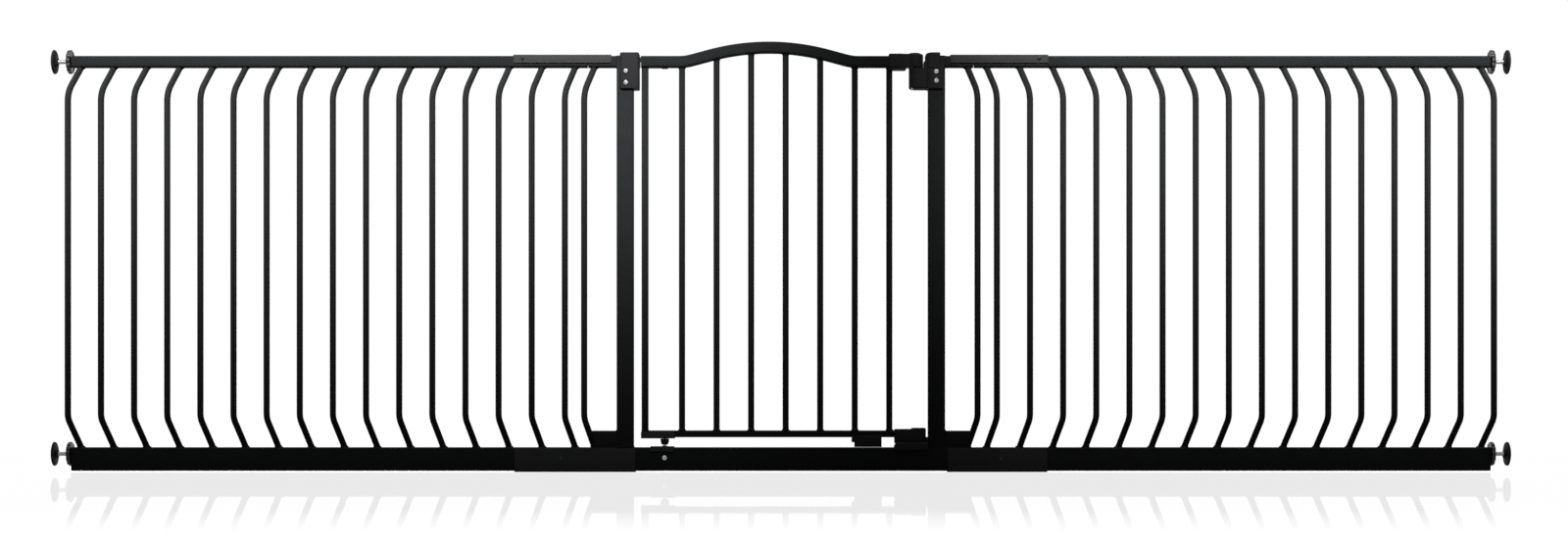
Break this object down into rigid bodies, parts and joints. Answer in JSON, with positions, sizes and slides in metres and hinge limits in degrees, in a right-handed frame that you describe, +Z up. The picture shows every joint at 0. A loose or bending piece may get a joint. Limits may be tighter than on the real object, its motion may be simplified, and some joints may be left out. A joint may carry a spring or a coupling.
{
  "type": "safety gate",
  "caption": "Pressure-mounted metal safety gate with an arched lift-and-swing door between two barred extension panels, held by screw-out wall pads.",
  "frame": {"origin": "on the floor at the middle of the gate's length, in the plane of its rails", "axes": "+X along the gate to the right seen from the front, -Y to the front, +Z up"},
  "size_m": [2.5826, 0.0549, 0.7625],
  "materials": {
    "powder_coat": "matt black powder coat on steel tube",
    "black_sheet": "satin black powder coat on folded steel sheet",
    "black_plastic": "fine-textured black moulded nylon",
    "button_plastic": "smooth black moulded plastic",
    "zinc_steel": "bright zinc-plated steel",
    "black_steel": "black oxide steel",
    "pad_rubber": "soft matt black rubber"
  },
  "bodies": {
    "gate_frame": {"left_extension_panel": "powder_coat", "right_extension_panel": "powder_coat", "base_rail": "powder_coat", "left_post": "powder_coat", "right_post": "powder_coat", "left_side_bar": "powder_coat", "right_side_bar": "powder_coat", "left_base_bracket": "powder_coat", "right_base_bracket": "powder_coat", "left_top_connector": "black_sheet", "right_top_connector": "black_sheet", "left_base_connector": "black_sheet", "right_base_connector": "black_sheet", "left_top_connector_screw": "black_steel", "left_base_connector_screw": "black_steel", "right_top_connector_screw": "black_steel", "right_base_connector_screw": "black_steel", "left_top_rail_bush": "black_plastic", "left_base_rail_bush": "black_plastic", "right_top_rail_bush": "black_plastic", "right_base_rail_bush": "black_plastic", "hinge_bracket": "black_plastic", "hinge_bracket_screw_upper": "zinc_steel", "hinge_bracket_screw_lower": "zinc_steel", "hinge_arm": "zinc_steel", "catch_bracket": "black_plastic", "catch_bracket_screw_upper": "zinc_steel", "catch_bracket_screw_lower": "zinc_steel", "catch_pod_pin": "zinc_steel", "lower_pivot_plate": "black_sheet", "lower_pivot_pin": "zinc_steel", "lower_pivot_screw": "zinc_steel", "strike": "black_plastic", "door_stop": "black_plastic"},
    "lift_carriage": {"lift_bush": "black_plastic"},
    "door": {"door_frame": "powder_coat", "top_hinge_pin": "black_steel", "lower_hinge_shoe": "black_sheet", "latch_lug": "black_plastic", "handle_housing": "black_plastic", "latch_pin": "zinc_steel", "button_spring": "zinc_steel"},
    "button": {"release_button": "button_plastic"},
    "left_top_nut": {"left_top_hand_nut": "black_plastic"},
    "left_top_pad": {"left_top_spindle": "zinc_steel", "left_top_wall_cup": "black_plastic", "left_top_rubber_pad": "pad_rubber"},
    "left_base_nut": {"left_base_hand_nut": "black_plastic"},
    "left_base_pad": {"left_base_spindle": "zinc_steel", "left_base_wall_cup": "black_plastic", "left_base_rubber_pad": "pad_rubber"},
    "right_top_nut": {"right_top_hand_nut": "black_plastic"},
    "right_top_pad": {"right_top_spindle": "zinc_steel", "right_top_wall_cup": "black_plastic", "right_top_rubber_pad": "pad_rubber"},
    "right_base_nut": {"right_base_hand_nut": "black_plastic"},
    "right_base_pad": {"right_base_spindle": "zinc_steel", "right_base_wall_cup": "black_plastic", "right_base_rubber_pad": "pad_rubber"}
  },
  "joints": [
    {"name": "door_lift", "type": "slide", "parent": "gate_frame", "child": "lift_carriage", "axis": [0, 0, 1], "range_m": [0, 0.008]},
    {"name": "door_swing", "type": "hinge", "parent": "lift_carriage", "child": "door", "pos_m": [-0.206, 0, 0.4], "axis": [0, 0, 1], "range_deg": [0, 90]},
    {"name": "button_press", "type": "slide", "parent": "door", "child": "button", "axis": [0, 0, -1], "range_m": [0, 0.002], "stiffness_N_per_m": 800, "springref_m": -0.002, "deforming": ["button_spring"]},
    {"name": "left_top_nut_turn", "type": "hinge", "parent": "gate_frame", "child": "left_top_nut", "pos_m": [-1.2607, 0, 0.727], "axis": [1, 0, 0], "range_deg": [-1440, 5760]},
    {"name": "left_top_pad_slide", "type": "slide", "parent": "gate_frame", "child": "left_top_pad", "axis": [-1, 0, 0], "range_m": [-0.005, 0.02]},
    {"name": "left_base_nut_turn", "type": "hinge", "parent": "gate_frame", "child": "left_base_nut", "pos_m": [-1.2607, 0, 0.032], "axis": [1, 0, 0], "range_deg": [-1440, 5760]},
    {"name": "left_base_pad_slide", "type": "slide", "parent": "gate_frame", "child": "left_base_pad", "axis": [-1, 0, 0], "range_m": [-0.005, 0.02]},
    {"name": "right_top_nut_turn", "type": "hinge", "parent": "gate_frame", "child": "right_top_nut", "pos_m": [1.2607, 0, 0.727], "axis": [-1, 0, 0], "range_deg": [-1440, 5760]},
    {"name": "right_top_pad_slide", "type": "slide", "parent": "gate_frame", "child": "right_top_pad", "axis": [1, 0, 0], "range_m": [-0.005, 0.02]},
    {"name": "right_base_nut_turn", "type": "hinge", "parent": "gate_frame", "child": "right_base_nut", "pos_m": [1.2607, 0, 0.032], "axis": [-1, 0, 0], "range_deg": [-1440, 5760]},
    {"name": "right_base_pad_slide", "type": "slide", "parent": "gate_frame", "child": "right_base_pad", "axis": [1, 0, 0], "range_m": [-0.005, 0.02]}
  ],
  "couplings": [
    {"joint": "left_top_pad_slide", "follows": "left_top_nut_turn", "m_per_rad": 0.00019894},
    {"joint": "left_base_pad_slide", "follows": "left_base_nut_turn", "m_per_rad": 0.00019894},
    {"joint": "right_top_pad_slide", "follows": "right_top_nut_turn", "m_per_rad": 0.00019894},
    {"joint": "right_base_pad_slide", "follows": "right_base_nut_turn", "m_per_rad": 0.00019894}
  ]
}
